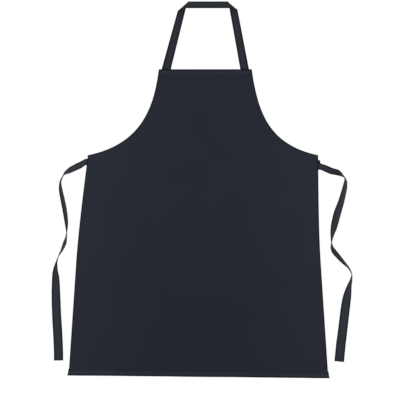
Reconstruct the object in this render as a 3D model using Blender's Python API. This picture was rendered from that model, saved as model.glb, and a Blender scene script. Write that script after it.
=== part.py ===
"""A bib apron hanging by its neck tape: cloth panels, turned hems, tapes and seam threads.

Metres, +Z up. The front of the cloth faces -Y. The origin is the middle of the neck tape's top run.
"Left" and "right" are as seen from the front. Every pivot is an empty, and what moves is parented to it.
"""

import math

import bmesh
import bpy
from mathutils import Matrix, Vector

# ---- driving dimensions ------------------------------------------------------------------------

CLOTH_THICK = 0.0006
HEM_THICK = 0.0010
TAPE_THICK = 0.0008
THREAD_THICK = 0.0004
THREAD_WIDE = 0.0007
BARTACK_WIDE = 0.0020
CLEAR = 0.0003

BIB_TOP = -0.1768
CORNER = -0.4127
WAIST_FOLD = -0.4163
HEM_LINE = -1.0209
HEM_SLOPE = 0.0077
BIB_TOP_HALF = 0.1276
WAIST_HALF = 0.3162
HEM_HALF = 0.3564

LEAN_TOP_X = -0.0074
LEAN_HEM_X = -0.0261
LEAN_FROM = -0.2202
LEAN_TO = -0.7140

ARMHOLE_TOP_PULL = 0.1215
ARMHOLE_TOP_ANGLE = math.radians(7.6)
ARMHOLE_SIDE_PULL = 0.1393
ARMHOLE_SIDE_ANGLE = math.radians(12.0)

TOP_HEM_DEEP = 0.020
ARMHOLE_HEM_WIDE = 0.008
ARMHOLE_HEM_FROM = 0.06
SIDE_HEM_WIDE = 0.010
BOTTOM_HEM_DEEP = 0.0175
BOTTOM_HEM_PROUD = 0.0034
HEM_END_GAP = 0.0010
STITCH_INSET = 0.0015
ARMHOLE_SEAM = (0.02, 0.90)
SIDE_SEAM = (0.012, 0.955)
BOTTOM_SEAM_MARGIN = 0.002

# The neck tape is folded at two slanting creases. Each strand has its inner and outer edge given at the
# top of the top run and at the bib, and how far below the origin its crease ends on the outer edge.
TOP_RUN_WIDE = 0.0195
TOP_RUN_HALF = 0.0521
TOP_RUN_TURN = (0.009, 0.005)
STRANDS = {
    "left": {"sign": -1, "top": (0.0563, 0.0754), "foot": (0.1020, 0.1274), "crease_drop": 0.0188},
    "right": {"sign": 1, "top": (0.0556, 0.0762), "foot": (0.0887, 0.1125), "crease_drop": 0.0158},
}
STRAND_TURN = (0.004, 0.003)
NECK_TAPE_TUCK = 0.028
FOLD_STEP = 0.0013
NECK_BARTACK_DROP = 0.0105
NECK_BARTACK_LONG = 0.0140

# An ear is the raw top corner of a tie's sewn end, standing up beside the cloth.
TIE_ROOT_WIDE = 0.0180
TIE_ROOT_TURN = 0.030
TIE_TUCK = 0.032
TIE_PROUD = 0.0036
TIE_END_HEM = 0.012
TIE_EAR_HALF = 0.0035
TIE_SIDES = {
    "left": {"sign": -1, "root_z": -0.4314, "ear": 0.0},
    "right": {"sign": 1, "root_z": -0.4435, "ear": 0.0085},
}
TIE_BARTACK_LONG = 0.0126

NECK_FOLD_SLIT = 0.0005
WAIST_SLIT = 0.0005
TIE_SLIT = 0.0010

# Layers from back to front: neck and tie tapes, turned hems, cloth, seam threads.
RUN_Y = 0.0
TAPE_Y = RUN_Y + FOLD_STEP
HEM_Y = TAPE_Y - TAPE_THICK / 2 - CLEAR - HEM_THICK / 2
CLOTH_Y = HEM_Y - HEM_THICK / 2 - CLEAR - CLOTH_THICK / 2
THREAD_Y = CLOTH_Y - CLOTH_THICK / 2 - CLEAR - THREAD_THICK / 2

# Where each tie lies, from its seam to its end: x, depth y, z in millimetres, the angle in degrees by
# which the tape has turned about its own length, and how wide it is there in millimetres.
LEFT_TIE_ROUTE = (
    (-351, 3, -440, 10, 18),
    (-368, 5, -448, 36, 21),
    (-381, 6, -455, 51, 24),
    (-392, 6, -462, 71, 25.5),
    (-400, 5, -472, 90, 25.5),
    (-405, 3, -486, 97, 25.5),
    (-404, 0, -508, 110, 25.5),
    (-398, -4, -538, 115, 25.5),
    (-392, -6, -569, 115, 25.5),
    (-388, -6, -601, 107, 25.5),
    (-388, -4, -623, 90, 25.5),
    (-390, -2, -643, 74, 25.5),
    (-394, 0, -656, 66, 25.5),
    (-403, 3, -676, 76, 25.5),
    (-411, 5, -689, 86, 25.5),
    (-416, 6, -706, 97, 25.5),
    (-419, 6, -728, 118, 25.5),
    (-418, 4, -755, 142, 25.5),
    (-417, 0, -804, 160, 25.5),
    (-415, -4, -854, 167, 25.5),
    (-412, -5, -903, 176, 25.5),
    (-410, -3, -953, 172, 25.5),
    (-410, -1, -976, 170, 25.5),
)
RIGHT_TIE_ROUTE = (
    (320, 3, -448, 8, 18),
    (339, 5, -456, 29, 20),
    (355, 6, -460, 48, 23),
    (367, 6, -467, 74, 25.5),
    (375, 5, -474, 92, 25.5),
    (378, 3, -483, 108, 25.5),
    (377, 1, -493, 118, 25.5),
    (374, -1, -508, 125, 25.5),
    (365, -5, -541, 134, 25.5),
    (354, -7, -574, 145, 25.5),
    (346, -6, -607, 138, 25.5),
    (341, -4, -632, 115, 25.5),
    (339, -1, -654, 90, 25.5),
    (344, 2, -673, 64, 25.5),
    (356, 4, -689, 62, 25.5),
    (371, 6, -706, 70, 25.5),
    (386, 6, -722, 82, 25.5),
    (394, 5, -739, 92, 25.5),
    (393, 3, -755, 108, 25.5),
    (388, 1, -772, 123, 25.5),
    (381, -3, -804, 158, 25.5),
    (376, -5, -837, 175, 25.5),
    (368, -6, -903, 180, 26),
    (364, -4, -936, 180, 26.5),
    (360, -2, -979, 180, 26.5),
)

BACK = Vector((0, 1, 0))
UP = Vector((0, 0, 1))


# ---- the cloth's outline -----------------------------------------------------------------------


def smooth_step(t):
    t = min(1.0, max(0.0, t))
    return t * t * (3 - 2 * t)


def centre_x(z):
    """The middle of the garment, which hangs a little to the left on its way down."""
    share = smooth_step((z - LEAN_FROM) / (LEAN_TO - LEAN_FROM))
    return LEAN_TOP_X + share * (LEAN_HEM_X - LEAN_TOP_X)


def armhole(sign, t):
    """Point t of the armhole, a cubic curve from the bib's top corner, t 0, to the side corner, t 1."""
    start = Vector((BIB_TOP_HALF, BIB_TOP))
    end = Vector((WAIST_HALF, CORNER))
    down = Vector((math.sin(ARMHOLE_TOP_ANGLE), -math.cos(ARMHOLE_TOP_ANGLE)))
    out = Vector((math.cos(ARMHOLE_SIDE_ANGLE), -math.sin(ARMHOLE_SIDE_ANGLE)))
    first = start + ARMHOLE_TOP_PULL * down
    second = end - ARMHOLE_SIDE_PULL * out
    s = 1 - t
    point = s**3 * start + 3 * s * s * t * first + 3 * s * t * t * second + t**3 * end
    return Vector((centre_x(point.y) + sign * point.x, CLOTH_Y, point.y))


def side_edge(sign, t):
    """Point t of the skirt's side, a straight flare from the waist fold, t 0, to the hem line, t 1."""
    z = WAIST_FOLD + t * (HEM_LINE - WAIST_FOLD)
    half = WAIST_HALF + t * (HEM_HALF - WAIST_HALF)
    return Vector((centre_x(z) + sign * half, CLOTH_Y, z - sign * t * HEM_SLOPE / 2))


def inset(edge, sign, t, distance):
    """The point that far inside the cloth from point t of an edge."""
    step = 0.004
    along = edge(sign, min(1.0, t + step)) - edge(sign, max(0.0, t - step))
    inward = Vector((-sign * abs(along.z), 0, -abs(along.x) if edge is armhole else 0))
    return edge(sign, t) + distance * inward.normalized()


def at_depth(point, y):
    return Vector((point.x, y, point.z))


def spread(start, end, count):
    return [start + (end - start) * i / (count - 1) for i in range(count)]


# ---- solids ------------------------------------------------------------------------------------


def slab(sections, thick):
    """A closed flat strip through cross-sections (edge point, edge point, direction of thickness)."""
    bm = bmesh.new()
    rings = []
    for one, other, normal in sections:
        half = normal.normalized() * thick / 2
        corners = (one - half, other - half, other + half, one + half)
        rings.append([bm.verts.new(corner) for corner in corners])
    bm.faces.new(rings[0])
    bm.faces.new(rings[-1][::-1])
    for here, there in zip(rings, rings[1:]):
        for i, j in ((1, 2), (3, 0)):
            bm.faces.new((here[i], here[j], there[j], there[i]))
        # Both broad faces are split along the same diagonal, so that a twisted strip keeps its thickness.
        bm.faces.new((here[0], here[1], there[1]))
        bm.faces.new((here[0], there[1], there[0]))
        bm.faces.new((here[2], here[3], there[2]))
        bm.faces.new((here[3], there[3], there[2]))
    bmesh.ops.recalc_face_normals(bm, faces=bm.faces)
    mesh = bpy.data.meshes.new("slab")
    bm.to_mesh(mesh)
    bm.free()
    return mesh


def flat_slab(pairs, y, thick):
    """A strip that lies in the plane y, through pairs of edge points."""
    return slab([(at_depth(a, y), at_depth(b, y), BACK) for a, b in pairs], thick)


def thread(points, wide=THREAD_WIDE):
    """A seam's thread as one thin strip along its line of stitches, on the front of the cloth."""
    pairs = []
    for i, point in enumerate(points):
        before = points[max(0, i - 1)]
        after = points[min(len(points) - 1, i + 1)]
        across = (after - before).cross(BACK).normalized() * wide / 2
        pairs.append((point - across, point + across))
    return flat_slab(pairs, THREAD_Y, THREAD_THICK)


# ---- cloth, hems and their threads -------------------------------------------------------------


def bib_panel():
    rows = [(armhole(-1, t), armhole(1, t)) for t in spread(0.0, 1.0, 25)]
    left, right = rows[-1]
    drop = Vector((0, 0, WAIST_FOLD + WAIST_SLIT - CORNER))
    rows.append((left + drop, right + drop))
    return flat_slab(rows, CLOTH_Y, CLOTH_THICK)


def skirt_panel():
    rows = [(side_edge(-1, t), side_edge(1, t)) for t in spread(0.0, 1.0, 17)]
    left, right = rows[0]
    rows[0] = (left - WAIST_SLIT * UP, right - WAIST_SLIT * UP)
    return flat_slab(rows, CLOTH_Y, CLOTH_THICK)


def bib_top_hem():
    left, right = armhole(-1, 0), armhole(1, 0)
    deep = TOP_HEM_DEEP * UP
    return flat_slab([(left, left - deep), (right, right - deep)], HEM_Y, HEM_THICK)


def armhole_pair(sign, t):
    """Outer and inner edge of the armhole's hem. The inner one stops short of the waist fold."""
    inner = inset(armhole, sign, t, ARMHOLE_HEM_WIDE)
    inner.z = max(inner.z, WAIST_FOLD + WAIST_SLIT)
    return armhole(sign, t), inner


def armhole_hem(sign):
    pairs = [armhole_pair(sign, t) for t in spread(ARMHOLE_HEM_FROM, 1.0, 22)]
    return flat_slab(pairs, HEM_Y, HEM_THICK)


def side_hem(sign):
    stop = 1 - (BOTTOM_HEM_DEEP + HEM_END_GAP) / (WAIST_FOLD - HEM_LINE)
    pairs = []
    for t in spread(0.0, stop, 13):
        slit = WAIST_SLIT * UP if t == 0 else Vector()
        pairs.append((side_edge(sign, t) - slit, inset(side_edge, sign, t, SIDE_HEM_WIDE) - slit))
    return flat_slab(pairs, HEM_Y, HEM_THICK)


def bottom_hem():
    """The widest hem. Its ends stand a little proud of the sides, more at the hem line than above."""
    pairs = []
    for sign in (-1, 1):
        corner = side_edge(sign, 1.0)
        top = corner + Vector((sign * BOTTOM_HEM_PROUD / 3, 0, BOTTOM_HEM_DEEP))
        pairs.append((top, corner + Vector((sign * BOTTOM_HEM_PROUD, 0, 0))))
    return flat_slab(pairs, HEM_Y, HEM_THICK)


def top_hem_stitching():
    drop = (TOP_HEM_DEEP - STITCH_INSET) * UP
    margin = Vector((ARMHOLE_HEM_WIDE, 0, 0))
    return thread([armhole(-1, 0) - drop + margin, armhole(1, 0) - drop - margin])


def armhole_stitching(sign):
    distance = ARMHOLE_HEM_WIDE - STITCH_INSET
    return thread([inset(armhole, sign, t, distance) for t in spread(*ARMHOLE_SEAM, 24)])


def side_stitching(sign):
    distance = SIDE_HEM_WIDE - STITCH_INSET
    return thread([inset(side_edge, sign, t, distance) for t in spread(*SIDE_SEAM, 13)])


def bottom_hem_stitching():
    lift = Vector((0, 0, BOTTOM_HEM_DEEP - STITCH_INSET))
    margin = Vector((BOTTOM_SEAM_MARGIN, 0, 0))
    return thread([side_edge(-1, 1.0) + lift + margin, side_edge(1, 1.0) + lift - margin])


# ---- neck tape ---------------------------------------------------------------------------------


def strand_edges(side, z):
    """Outer and inner edge of one strand of the neck tape at a height."""
    strand = STRANDS[side]
    share = (TOP_RUN_WIDE / 2 - z) / (TOP_RUN_WIDE / 2 - BIB_TOP)
    inner, outer = [
        top + share * (foot - top) for top, foot in zip(strand["top"], strand["foot"])
    ]
    return (
        Vector((strand["sign"] * outer, TAPE_Y, z)),
        Vector((strand["sign"] * inner, TAPE_Y, z)),
    )


def crease(side, steps=6):
    """Cross-sections round one folded corner, from the strand behind to the top run in front."""
    sign = STRANDS[side]["sign"]
    low, _ = strand_edges(side, -STRANDS[side]["crease_drop"])
    high = Vector((sign * TOP_RUN_HALF, 0, TOP_RUN_WIDE / 2))
    outward = -sign * at_depth(high - low, 0).cross(BACK).normalized()
    middle = (TAPE_Y + RUN_Y) / 2
    radius = (TAPE_Y - RUN_Y) / 2
    sections = []
    for angle in spread(0.0, math.pi, steps):
        normal = math.cos(angle) * BACK + math.sin(angle) * outward
        shift = Vector((0, middle, 0)) + radius * normal
        sections.append((at_depth(low, 0) + shift, at_depth(high, 0) + shift, normal))
    return sections


def strand(side):
    """Cross-sections of one strand, from its foot to just below its crease."""
    below, beside = STRAND_TURN
    foot_z = BIB_TOP + 2 * NECK_FOLD_SLIT + CLEAR
    outer, _ = strand_edges(side, -STRANDS[side]["crease_drop"] - beside)
    _, inner = strand_edges(side, -below)
    return [(*strand_edges(side, foot_z), BACK), (outer, inner, BACK)]


def top_run():
    """Cross-sections of the top run, at its left and its right end."""
    low_turn, high_turn = TOP_RUN_TURN
    run = []
    for sign in (-1, 1):
        low = Vector((sign * (TOP_RUN_HALF + low_turn), RUN_Y, -TOP_RUN_WIDE / 2))
        high = Vector((sign * (TOP_RUN_HALF - high_turn), RUN_Y, TOP_RUN_WIDE / 2))
        run.append((low, high, -BACK))
    return run


def neck_strap():
    left = [*strand("left"), *crease("left")]
    right = [*strand("right"), *crease("right")]
    return slab([*left, *top_run(), *right[::-1]], TAPE_THICK)


def neck_tape_end(side):
    """The stretch of the neck tape that is sewn down behind the bib's top hem."""
    top = BIB_TOP + CLEAR
    bottom = BIB_TOP - NECK_TAPE_TUCK
    return flat_slab([strand_edges(side, z) for z in (top, bottom)], TAPE_Y, TAPE_THICK)


def neck_bartack(side):
    """The dense bar of stitches that holds an end of the neck tape, level across it."""
    middle = sum(strand_edges(side, BIB_TOP - NECK_BARTACK_DROP), Vector()) / 2
    half = Vector((NECK_BARTACK_LONG / 2, 0, 0))
    return thread([middle - half, middle + half], BARTACK_WIDE)


# ---- ties --------------------------------------------------------------------------------------


def tie_axis_x(side):
    """A tie turns about the upright line just outside the skirt's edge where it comes out."""
    tie = TIE_SIDES[side]
    t = (WAIST_FOLD - tie["root_z"]) / (WAIST_FOLD - HEM_LINE)
    return side_edge(tie["sign"], t).x + tie["sign"] * TIE_PROUD


def tie_root(side):
    tie = TIE_SIDES[side]
    return Vector((tie_axis_x(side), TAPE_Y, tie["root_z"]))


def between(p0, p1, p2, p3, t):
    """Catmull-Rom: the value at t between p1 and p2."""
    return 0.5 * (
        2 * p1
        + (p2 - p0) * t
        + (2 * p0 - 5 * p1 + 4 * p2 - p3) * t * t
        + (3 * p1 - p0 - 3 * p2 + p3) * t**3
    )


def smooth_route(knots, steps):
    """The knots and the points between them on one smooth curve, all values together."""
    padded = [knots[0], *knots, knots[-1]]
    points = []
    for i in range(1, len(padded) - 2):
        for step in range(steps):
            columns = zip(*padded[i - 1 : i + 3])
            points.append(tuple(between(*column, step / steps) for column in columns))
    points.append(knots[-1])
    return points


def tie_sections(side, steps=3):
    """Cross-sections of a tie: the tape turns about its own length by the route's angle."""
    sign = TIE_SIDES[side]["sign"]
    root = tie_root(side) + Vector((sign * TIE_SLIT, 0, 0))
    route = LEFT_TIE_ROUTE if side == "left" else RIGHT_TIE_ROUTE
    first = (root.x * 1000, root.y * 1000, root.z * 1000, 0, TIE_ROOT_WIDE * 1000)
    points = smooth_route((first, *route), steps)
    places = [Vector(point[:3]) / 1000 for point in points]
    sections = []
    for i, (place, point) in enumerate(zip(places, points)):
        along = places[min(i + 1, len(places) - 1)] - places[max(i - 1, 0)]
        along.normalize()
        level = BACK.cross(along).normalized()
        deep = along.cross(level)
        turn = math.radians(point[3])
        across = math.cos(turn) * level + math.sin(turn) * deep
        turned = smooth_step((place - root).length / TIE_ROOT_TURN)
        across = (math.copysign(1, level.z) * UP).lerp(across, turned).normalized()
        if i == 0:
            along = Vector((sign, 0, 0))
        half = across * point[4] / 2000
        sections.append((place - half, place + half, along.cross(across)))
    return sections


def tie_sewn_end(side):
    """The stretch of the tie sewn down behind the side hem, with its ear if it has one."""
    tie = TIE_SIDES[side]
    root = tie_root(side)
    out = root - Vector((tie["sign"] * TIE_SLIT, 0, 0))
    inner = root - Vector((tie["sign"] * TIE_TUCK, 0, 0))
    half = TIE_ROOT_WIDE / 2 * UP
    pairs = [(inner - half, out - half), (inner + half, out + half)]
    if tie["ear"]:
        tip = root + half + tie["ear"] * UP
        outward = Vector((tie["sign"] * TIE_EAR_HALF, 0, 0))
        pairs.append((tip - outward, tip + outward))
    return flat_slab(pairs, TAPE_Y, TAPE_THICK)


def tie_bartack(side):
    """The dense bar of stitches that holds a tie, upright across its sewn end beside the side hem."""
    inboard = TIE_PROUD + SIDE_HEM_WIDE + BARTACK_WIDE
    middle = tie_root(side) - Vector((TIE_SIDES[side]["sign"] * inboard, 0, 0))
    half = TIE_BARTACK_LONG / 2 * UP
    return thread([middle - half, middle + half], BARTACK_WIDE)


def end_of_tie(side, reach):
    """The tie's last cross-sections, as far back from its end as reach."""
    sections = tie_sections(side)
    middles = [(a + b) / 2 for a, b, _ in sections]
    a, b, normal = sections[-1]
    back = (middles[-2] - middles[-1]).normalized() * reach
    return [(a, b, normal), (a + back, b + back, normal)]


def tie_end_hem(side):
    """The end of the tape turned back on itself, behind the tie."""
    lift = -(TAPE_THICK + CLEAR)
    moved = [
        (a + lift * n.normalized(), b + lift * n.normalized(), n)
        for a, b, n in end_of_tie(side, TIE_END_HEM)
    ]
    return slab(moved, TAPE_THICK)


def tie_end_stitching(side):
    _, (a, b, normal) = end_of_tie(side, TIE_END_HEM - 2 * STITCH_INSET)
    unit = normal.normalized()
    lift = (TAPE_THICK / 2 + CLEAR + THREAD_THICK / 2) * unit
    across = (b - a).normalized()
    along = across.cross(unit) * THREAD_WIDE / 2
    start = a + lift + across * STITCH_INSET
    end = b + lift - across * STITCH_INSET
    return slab([(start - along, start + along, normal), (end - along, end + along, normal)], THREAD_THICK)


# ---- bodies, materials and objects -------------------------------------------------------------


def pivots():
    """Each moving body's name, its parent and a point on its axis."""
    return {
        "neck": (None, Vector((0, RUN_Y, 0))),
        "bib": ("neck", Vector((0, TAPE_Y + TAPE_THICK / 2, BIB_TOP + CLEAR + NECK_FOLD_SLIT))),
        "skirt": ("bib", Vector((0, CLOTH_Y - CLOTH_THICK / 2, WAIST_FOLD))),
        "tie_left": ("skirt", tie_root("left")),
        "tie_right": ("skirt", tie_root("right")),
    }


def add_pivots(places):
    empties = {}
    for name, (parent, place) in places.items():
        empty = bpy.data.objects.new(name + "_pivot", None)
        bpy.context.scene.collection.objects.link(empty)
        empty.location = place - (places[parent][1] if parent else Vector())
        if parent:
            empty.parent = empties[parent]
        empties[name] = empty
    return empties


def cloth_material(name, colour, roughness):
    material = bpy.data.materials.new(name)
    material.use_nodes = True
    shader = material.node_tree.nodes["Principled BSDF"]
    shader.inputs["Base Color"].default_value = (*colour, 1)
    shader.inputs["Roughness"].default_value = roughness
    shader.inputs["Metallic"].default_value = 0.0
    return material


def pieces():
    """Every piece: its name, the body that it moves with, its material and its mesh."""
    made = [
        ("neck_strap", "neck", "tape", neck_strap()),
        ("bib_panel", "bib", "cloth", bib_panel()),
        ("bib_top_hem", "bib", "cloth", bib_top_hem()),
        ("bib_top_stitching", "bib", "thread", top_hem_stitching()),
        ("skirt_panel", "skirt", "cloth", skirt_panel()),
        ("bottom_hem", "skirt", "cloth", bottom_hem()),
        ("bottom_hem_stitching", "skirt", "thread", bottom_hem_stitching()),
    ]
    for side, strand in STRANDS.items():
        sign = strand["sign"]
        tie = "tie_" + side
        made += [
            ("armhole_hem_" + side, "bib", "cloth", armhole_hem(sign)),
            ("armhole_stitching_" + side, "bib", "thread", armhole_stitching(sign)),
            ("neck_tape_end_" + side, "bib", "tape", neck_tape_end(side)),
            ("neck_bartack_" + side, "bib", "thread", neck_bartack(side)),
            ("side_hem_" + side, "skirt", "cloth", side_hem(sign)),
            ("side_stitching_" + side, "skirt", "thread", side_stitching(sign)),
            ("tie_sewn_end_" + side, "skirt", "tape", tie_sewn_end(side)),
            ("tie_bartack_" + side, "skirt", "thread", tie_bartack(side)),
            (tie, tie, "tape", slab(tie_sections(side), TAPE_THICK)),
            (tie + "_end_hem", tie, "tape", tie_end_hem(side)),
            (tie + "_end_stitching", tie, "thread", tie_end_stitching(side)),
        ]
    return made


def build():
    for old in list(bpy.data.objects):
        bpy.data.objects.remove(old, do_unlink=True)
    materials = {
        "cloth": cloth_material("cloth", (0.0195, 0.0222, 0.0319), 0.85),
        "tape": cloth_material("tape", (0.0270, 0.0347, 0.0452), 0.75),
        "thread": cloth_material("thread", (0.0160, 0.0190, 0.0280), 0.55),
    }
    places = pivots()
    empties = add_pivots(places)
    for name, body, finish, mesh in pieces():
        mesh.name = name
        mesh.transform(Matrix.Translation(-places[body][1]))
        mesh.materials.append(materials[finish])
        piece = bpy.data.objects.new(name, mesh)
        piece.parent = empties[body]
        bpy.context.scene.collection.objects.link(piece)


build()
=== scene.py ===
"""Looks of a bib apron that hangs by its folded neck tape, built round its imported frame.

Metres, +Z up, the front of the cloth faces -Y. "Left" and "right" are as seen from the front.
"""

import math

import bmesh
import bpy
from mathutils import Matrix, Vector, kdtree
from mathutils.geometry import delaunay_2d_cdt


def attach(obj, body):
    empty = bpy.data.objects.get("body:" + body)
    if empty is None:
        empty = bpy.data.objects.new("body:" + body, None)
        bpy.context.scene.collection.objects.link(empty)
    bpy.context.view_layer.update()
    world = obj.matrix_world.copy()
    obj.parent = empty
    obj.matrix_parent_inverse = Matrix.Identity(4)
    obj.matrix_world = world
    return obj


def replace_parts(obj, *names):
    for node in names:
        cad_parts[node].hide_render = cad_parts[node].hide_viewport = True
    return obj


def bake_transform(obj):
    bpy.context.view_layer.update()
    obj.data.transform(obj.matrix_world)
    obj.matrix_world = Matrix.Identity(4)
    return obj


# ---- sizes shared with the frame ---------------------------------------------------------------

BIB_TOP = -0.1768
CORNER = -0.4127
WAIST_FOLD = -0.4163
HEM_LINE = -1.0209
HEM_SLOPE = 0.0077
BIB_TOP_HALF = 0.1276
WAIST_HALF = 0.3162
HEM_HALF = 0.3564

LEAN_TOP_X = -0.0074
LEAN_HEM_X = -0.0261
LEAN_FROM = -0.2202
LEAN_TO = -0.7140

ARMHOLE_TOP_PULL = 0.1215
ARMHOLE_TOP_ANGLE = math.radians(7.6)
ARMHOLE_SIDE_PULL = 0.1393
ARMHOLE_SIDE_ANGLE = math.radians(12.0)

TOP_HEM_DEEP = 0.020
ARMHOLE_HEM_WIDE = 0.008
SIDE_HEM_WIDE = 0.010
BOTTOM_HEM_DEEP = 0.0175
BOTTOM_HEM_PROUD = 0.0034
STITCH_INSET = 0.0015

TOP_RUN_WIDE = 0.0195
TOP_RUN_HALF = 0.0521
TOP_RUN_TURN = (0.009, 0.005)
STRANDS = {
    "left": {"sign": -1, "top": (0.0563, 0.0754), "foot": (0.1020, 0.1274), "crease_drop": 0.0188},
    "right": {"sign": 1, "top": (0.0556, 0.0762), "foot": (0.0887, 0.1125), "crease_drop": 0.0158},
}
STRAND_TURN = (0.004, 0.003)
NECK_TAPE_TUCK = 0.028
NECK_BARTACK_DROP = 0.0105
NECK_BARTACK_LONG = 0.0140

TIE_ROOT_WIDE = 0.0180
TIE_ROOT_TURN = 0.030
TIE_TUCK = 0.032
TIE_PROUD = 0.0036
TIE_END_HEM = 0.012
TIE_SIDES = {
    "left": {"sign": -1, "root_z": -0.4314, "ear": 0.0},
    "right": {"sign": 1, "root_z": -0.4435, "ear": 0.0085},
}
TIE_BARTACK_LONG = 0.0126

RUN_Y = 0.0
TAPE_Y = 0.0013
CLOTH_Y = -0.0010

# Where each tie lies, from its seam to its end: x, depth y, z in millimetres, the angle in degrees by
# which the tape has turned about its own length, and how wide it is there in millimetres.
LEFT_TIE_ROUTE = (
    (-351, 3, -440, 10, 18),
    (-368, 5, -448, 36, 21),
    (-381, 6, -455, 51, 24),
    (-392, 6, -462, 71, 25.5),
    (-400, 5, -472, 90, 25.5),
    (-405, 3, -486, 97, 25.5),
    (-404, 0, -508, 110, 25.5),
    (-398, -4, -538, 115, 25.5),
    (-392, -6, -569, 115, 25.5),
    (-388, -6, -601, 107, 25.5),
    (-388, -4, -623, 90, 25.5),
    (-390, -2, -643, 74, 25.5),
    (-394, 0, -656, 66, 25.5),
    (-403, 3, -676, 76, 25.5),
    (-411, 5, -689, 86, 25.5),
    (-416, 6, -706, 97, 25.5),
    (-419, 6, -728, 118, 25.5),
    (-418, 4, -755, 142, 25.5),
    (-417, 0, -804, 160, 25.5),
    (-415, -4, -854, 167, 25.5),
    (-412, -5, -903, 176, 25.5),
    (-410, -3, -953, 172, 25.5),
    (-410, -1, -976, 170, 25.5),
)
RIGHT_TIE_ROUTE = (
    (320, 3, -448, 8, 18),
    (339, 5, -456, 29, 20),
    (355, 6, -460, 48, 23),
    (367, 6, -467, 74, 25.5),
    (375, 5, -474, 92, 25.5),
    (378, 3, -483, 108, 25.5),
    (377, 1, -493, 118, 25.5),
    (374, -1, -508, 125, 25.5),
    (365, -5, -541, 134, 25.5),
    (354, -7, -574, 145, 25.5),
    (346, -6, -607, 138, 25.5),
    (341, -4, -632, 115, 25.5),
    (339, -1, -654, 90, 25.5),
    (344, 2, -673, 64, 25.5),
    (356, 4, -689, 62, 25.5),
    (371, 6, -706, 70, 25.5),
    (386, 6, -722, 82, 25.5),
    (394, 5, -739, 92, 25.5),
    (393, 3, -755, 108, 25.5),
    (388, 1, -772, 123, 25.5),
    (381, -3, -804, 158, 25.5),
    (376, -5, -837, 175, 25.5),
    (368, -6, -903, 180, 26),
    (364, -4, -936, 180, 26.5),
    (360, -2, -979, 180, 26.5),
)

# ---- sizes of the looks ------------------------------------------------------------------------

CLOTH_HALF = 0.0003
BEAD = 0.00095
EDGE_STEP = 0.0025
FIELD_STEP = 0.007
FIELD_LEFT = -0.385
FIELD_COLUMNS = 110
HEM_LIFT = 0.0010
HEM_THICK = 0.0013
TAPE_LIFT = TAPE_Y - CLOTH_Y
TAPE_THICK = 0.0008
NECK_LEAN = 0.0088
CREASE_TURNS = 8
STITCH_PITCH = 0.0030
STITCH_LONG = 0.0023
STITCH_HALF = 0.00024
BARTACK_PITCH = 0.0007
BARTACK_WIDE = 0.0020
# On the back of the cloth the painted shade goes no darker than this tone.
BACK_TONE = 0.78
# How far from an edge its painted shade reaches, and further on the neck tape.
EDGE_SHADE = 0.0034
NECK_EDGE_SHADE = 0.0046
# The neck tape is painted darker than the ties, a painted shade on the same tape.
NECK_PAINTED_SHADE_TONE = 0.84
TIE_CUP = 0.0016
# A tie is flat up to this cross-section, and its cup grows and fades over this many of them.
CUP_STARTS, CUP_STEPS = 14, 8
# Half the width of a tie's ear at its foot, and how much of that it loses by its tip.
EAR_HALF, EAR_NARROWING = 0.007, 0.0035

# Each edge: how wide its hem is, and the distances from the edge at which the cloth has a row
# of points.
HEMS = {
    "top": (TOP_HEM_DEEP, (0.0022, 0.0042, 0.0075, 0.0160, 0.0174, 0.0185, 0.0196, 0.0212)),
    "armhole": (ARMHOLE_HEM_WIDE, (0.0022, 0.0040, 0.0054, 0.0065, 0.0076, 0.0095, 0.014)),
    "side": (SIDE_HEM_WIDE, (0.0022, 0.0044, 0.0074, 0.0085, 0.0096, 0.012, 0.018)),
    "bottom": (BOTTOM_HEM_DEEP, (0.0022, 0.0042, 0.0075, 0.0135, 0.0149, 0.0160, 0.0171, 0.0190)),
}
# Long waves of the hanging skirt: depth, length across the cloth, phase, and how the wave drifts
# on its way down.
FLUTES = ((0.0024, 0.31, 0.5, 1.4), (0.0013, 0.171, 2.2, -2.3), (0.0006, 0.094, 4.1, 3.0))
BIB_FLUTES = ((0.0007, 0.150, 1.0, 2.0), (0.0003, 0.083, 2.6, -3.0))
# Faint creases pressed into the skirt: start and end (x, z) and how dark the line's painted shade is,
# lighter where negative, a painted highlight.
CREASES = (
    ((-0.159, -0.537), (0.008, -0.537), 0.06),
    ((-0.172, -0.560), (-0.172, -0.820), 0.05),
    ((0.121, -0.560), (0.128, -0.800), 0.05),
    ((-0.170, -0.780), (-0.070, -0.780), -0.04),
    ((0.020, -0.660), (0.110, -0.660), -0.04),
)
CREASE_HALF = 0.0030
CREASE_DEEP = 0.0015

# The front's relief beside a hem, and over what distance from the seam each part of it fades out.
GROOVE_DEEP, GROOVE_HALF = 0.00022, 0.0011
PUCKER_HIGH, PUCKER_HALF = 0.00010, 0.003
# The puckers' pitch along the seam, and how much and how often that pitch drifts.
PUCKER_PITCH, PUCKER_DRIFT, PUCKER_DRIFT_RATE = 0.0071, 1.7, 90
# How high the folded hem stands out, and over what distance it rises from the edge and falls to the seam.
PLUMP_HIGH, PLUMP_RISE, PLUMP_FALL = 0.00022, 0.003, 0.004
# How far past its own width a hem still changes the cloth.
HEM_REACH = 0.006

# Shares of tone beside a hem: the ridge's painted highlight, the edge's and the seam's painted shade, and
# the painted highlight between.
RIDGE_PAINTED_LIGHT, RIDGE_AT, RIDGE_HALF = 0.36, 0.0058, 0.0018
EDGE_PAINTED_SHADE = {"top": 0.85, "armhole": 0.85, "side": 0.85, "bottom": 0.88}
SEAM_PAINTED_SHADE = {"top": 0.10, "armhole": 0.24, "side": 0.24, "bottom": 0.14}
PLUMP_PAINTED_LIGHT = {"top": 0.05, "armhole": 0.05, "side": 0.07, "bottom": 0.20}
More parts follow.
